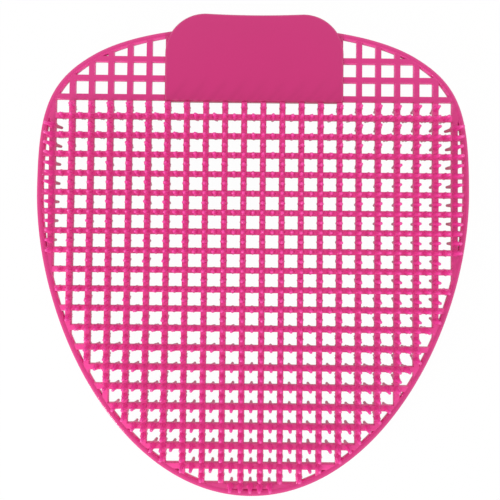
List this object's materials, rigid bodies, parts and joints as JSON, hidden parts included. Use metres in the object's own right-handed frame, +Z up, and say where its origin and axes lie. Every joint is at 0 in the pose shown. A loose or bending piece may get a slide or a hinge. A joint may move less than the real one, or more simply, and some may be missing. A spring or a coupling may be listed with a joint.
{
  "type": "urinal deodorizer screen",
  "caption": "Soft moulded urinal screen: an open square mesh with tapered bristles on both faces, a rim round its egg-shaped edge and a smooth grip tab.",
  "frame": {"origin": "on the ground under the middle of the length and width, with the screen lying on its rear bristles", "axes": "+Y along the length towards the grip tab, +X across the width, +Z up out of the front bristles"},
  "size_m": [0.1714, 0.19, 0.0134],
  "materials": {
    "soft_eva": "satin pink, slightly translucent moulded EVA"
  },
  "bodies": {
    "root": {"screen": "soft_eva"}
  },
  "joints": []
}
